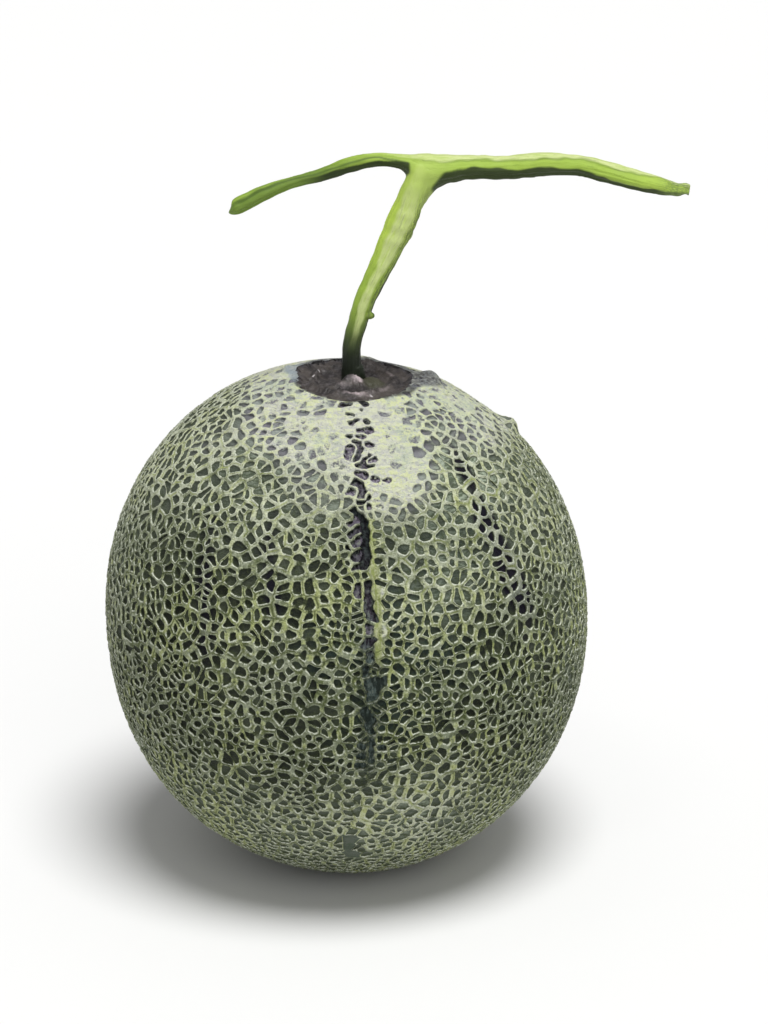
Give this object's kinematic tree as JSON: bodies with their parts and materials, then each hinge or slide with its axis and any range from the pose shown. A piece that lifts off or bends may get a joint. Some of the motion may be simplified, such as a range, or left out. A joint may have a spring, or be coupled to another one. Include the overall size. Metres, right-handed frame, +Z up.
{
  "type": "netted cantaloupe melon",
  "caption": "Whole round netted melon with a raised corky net on its rind, a dark sunken disc at the top and a T-shaped piece of vine, standing on a small flat spot.",
  "frame": {"origin": "centre of the small flat spot at the blossom end, on which the melon stands", "axes": "+Z up through the melon to its stalk, +X along the longer arm of the vine, -Y towards the front with the long furrow in the net"},
  "size_m": [0.1791, 0.1507, 0.2252],
  "materials": {
    "rind": "matte corky net, pale grey-green, over smooth dark green skin, with a dark brown-grey disc at the stalk",
    "vine": "satin fresh green, ribbed along its length, darker towards the foot"
  },
  "bodies": {
    "root": {"fruit": "rind", "stem": "vine"}
  },
  "joints": []
}
